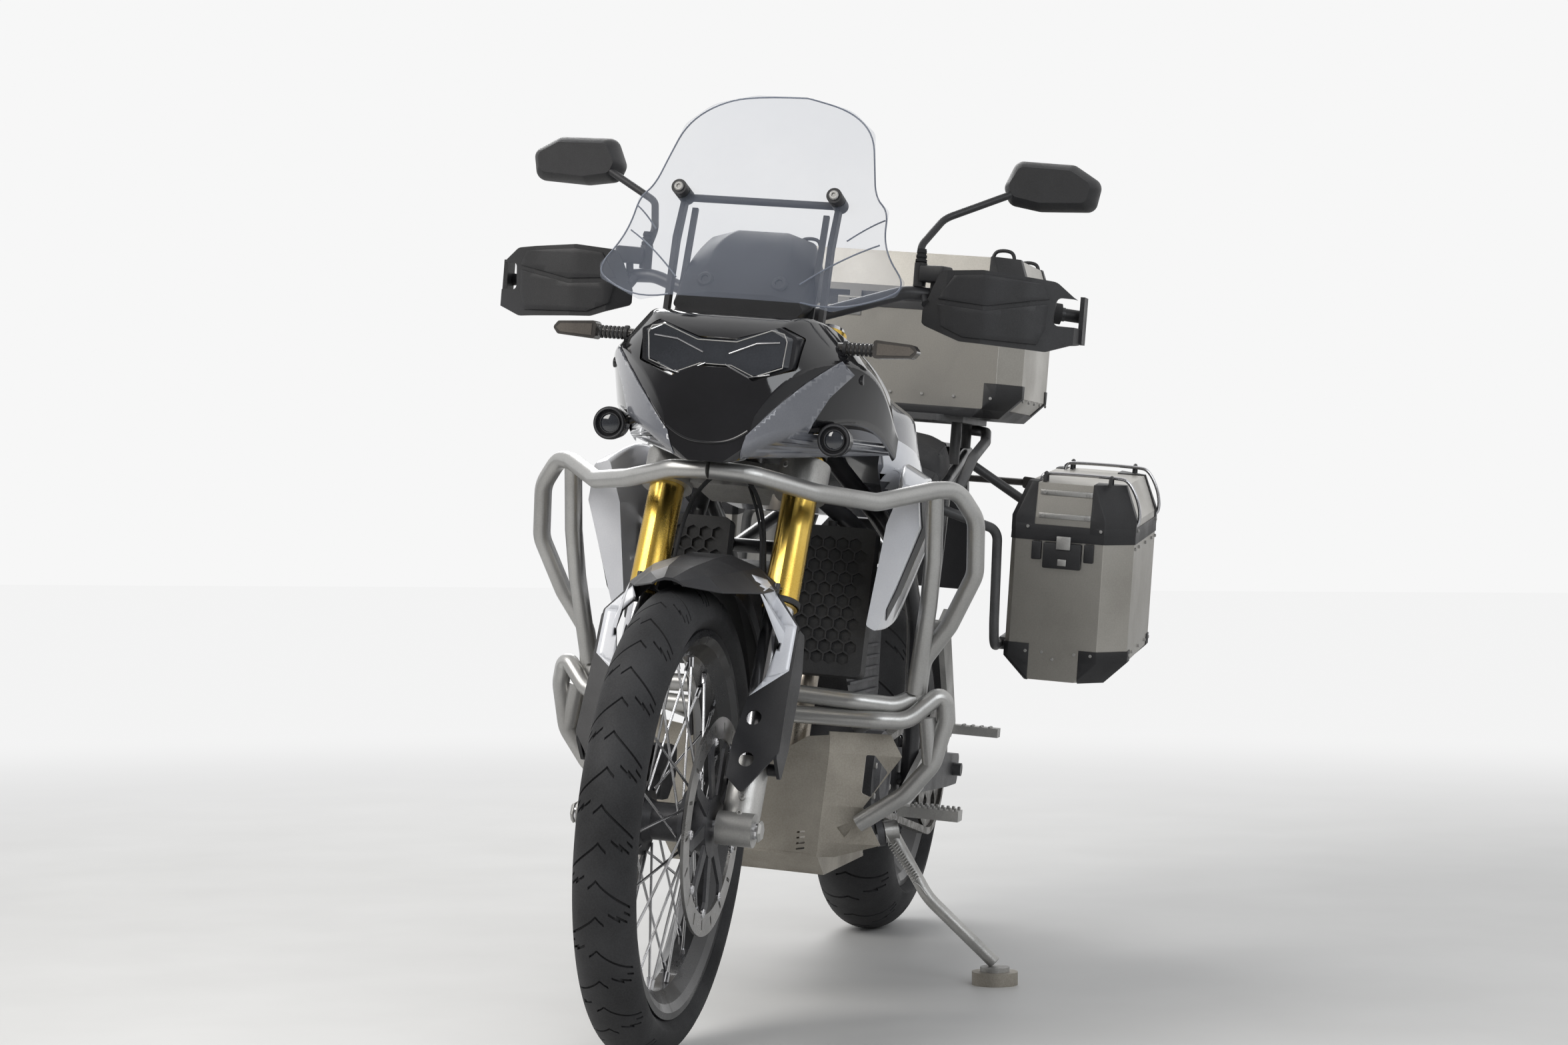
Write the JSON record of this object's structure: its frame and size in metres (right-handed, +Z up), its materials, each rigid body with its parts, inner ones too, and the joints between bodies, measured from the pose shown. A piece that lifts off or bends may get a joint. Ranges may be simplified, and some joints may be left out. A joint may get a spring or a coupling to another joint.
{
  "type": "adventure motorcycle",
  "caption": "Adventure motorcycle with wire-spoke wheels, crash bars and aluminium luggage, leaning on its side stand on a round puck",
  "frame": {"origin": "on the floor under the middle of the parked motorcycle's outline", "axes": "+X forwards along the wheel line, +Y to the rider's left and the side stand, +Z up"},
  "size_m": [2.2667, 1.0156, 1.4507],
  "materials": {
    "tyre_rubber": "worn matt",
    "rim_black": "satin black",
    "hub_black": "satin",
    "spoke_steel": "satin",
    "disc_steel": "brushed",
    "gold_anodised": "anodised gold",
    "chrome_tube": "polished",
    "cast_silver": "cast",
    "cast_black": "cast, coated black",
    "caliper_black": "satin",
    "fender_black": "matt",
    "bar_black": "satin black",
    "grip_rubber": "matt",
    "guard_black": "matt",
    "frame_black": "satin black",
    "engine_grey": "cast, coated",
    "exhaust_steel": "brushed",
    "chain_steel": "oiled",
    "tank_grey": "satin grey",
    "panel_white": "gloss white",
    "nose_black": "gloss black",
    "lamp_body": "dark",
    "lens_clear": "clear",
    "screen_clear": "clear",
    "seat_cover": "grained",
    "case_aluminium": "anodised",
    "rack_steel": "satin",
    "bar_silver": "satin silver",
    "plate_aluminium": "worn",
    "radiator_black": "matt black",
    "signal_smoke": "smoked"
  },
  "bodies": {
    "root": {"case_rails": "rack_steel", "chain": "chain_steel", "crash_bars": "bar_silver", "dash": "guard_black", "engine_block": "engine_grey", "engine_covers": "engine_grey", "exhaust": "exhaust_steel", "fog_lamps": "lamp_body", "foot_controls": "cast_silver", "fuel_tank": "tank_grey", "headlamp": "lamp_body", "headlamp_lens": "lens_clear", "main_frame": "frame_black", "nose_fairing": "nose_black", "panniers": "case_aluminium", "radiators": "radiator_black", "rear_caliper": "caliper_black", "rear_fender": "fender_black", "rear_rack": "rack_steel", "screen_bracket": "guard_black", "seats": "seat_cover", "side_panels": "panel_white", "skid_plate": "plate_aluminium", "swingarm": "cast_black", "top_case": "case_aluminium", "turn_signals": "signal_smoke", "windscreen": "screen_clear"},
    "steering": {"fork_outer_tubes": "gold_anodised", "fork_inner_tubes": "chrome_tube", "fork_feet": "cast_silver", "front_axle": "chrome_tube", "fork_clamps": "cast_silver", "front_calipers": "caliper_black", "front_fender": "fender_black", "handlebar": "bar_black", "grips": "grip_rubber", "levers": "cast_black", "handguards": "guard_black", "mirrors": "guard_black"},
    "front_wheel": {"front_tyre": "tyre_rubber", "front_rim": "rim_black", "front_hub": "hub_black", "front_spokes": "spoke_steel", "front_discs": "disc_steel"},
    "rear_wheel": {"rear_tyre": "tyre_rubber", "rear_rim": "rim_black", "rear_hub": "hub_black", "rear_spokes": "spoke_steel", "rear_disc": "disc_steel", "rear_sprocket": "chain_steel"},
    "stand": {"side_stand": "cast_silver", "stand_puck": "plate_aluminium"},
    "top_lid": {"top_case_lid": "case_aluminium"},
    "left_lid": {"pannier_left_lid": "case_aluminium"},
    "right_lid": {"pannier_right_lid": "case_aluminium"}
  },
  "joints": [
    {"name": "steering_turn", "type": "hinge", "parent": "root", "child": "steering", "pos_m": [0.46832, 0.00178, 0.94756], "axis": [-0.4131, 0.0738, 0.9077], "range_deg": [-34, 34]},
    {"name": "front_wheel_spin", "type": "hinge", "parent": "steering", "child": "front_wheel", "pos_m": [0.78566, -0.04708, 0.3468], "axis": [0, 0.9967, -0.0811], "continuous": true},
    {"name": "rear_wheel_spin", "type": "hinge", "parent": "root", "child": "rear_wheel", "pos_m": [-0.76534, -0.04926, 0.32009], "axis": [0, 0.9967, -0.0811], "continuous": true},
    {"name": "side_stand_fold", "type": "hinge", "parent": "root", "child": "stand", "pos_m": [-0.07484, 0.11008, 0.25606], "axis": [-0.3212, 0.9334, 0.1603], "range_deg": [0, 99]},
    {"name": "top_case_lid_open", "type": "hinge", "parent": "root", "child": "top_lid", "pos_m": [-0.56084, 0.02205, 1.1968], "axis": [0, 0.9967, -0.0811], "range_deg": [0, 90]},
    {"name": "pannier_left_lid_open", "type": "hinge", "parent": "root", "child": "left_lid", "pos_m": [-0.89657, 0.36066, 0.79576], "axis": [0, -0.9967, 0.0811], "range_deg": [0, 90]},
    {"name": "pannier_right_lid_open", "type": "hinge", "parent": "root", "child": "right_lid", "pos_m": [-0.89657, -0.37691, 0.85575], "axis": [0, -0.9967, 0.0811], "range_deg": [0, 90]}
  ]
}
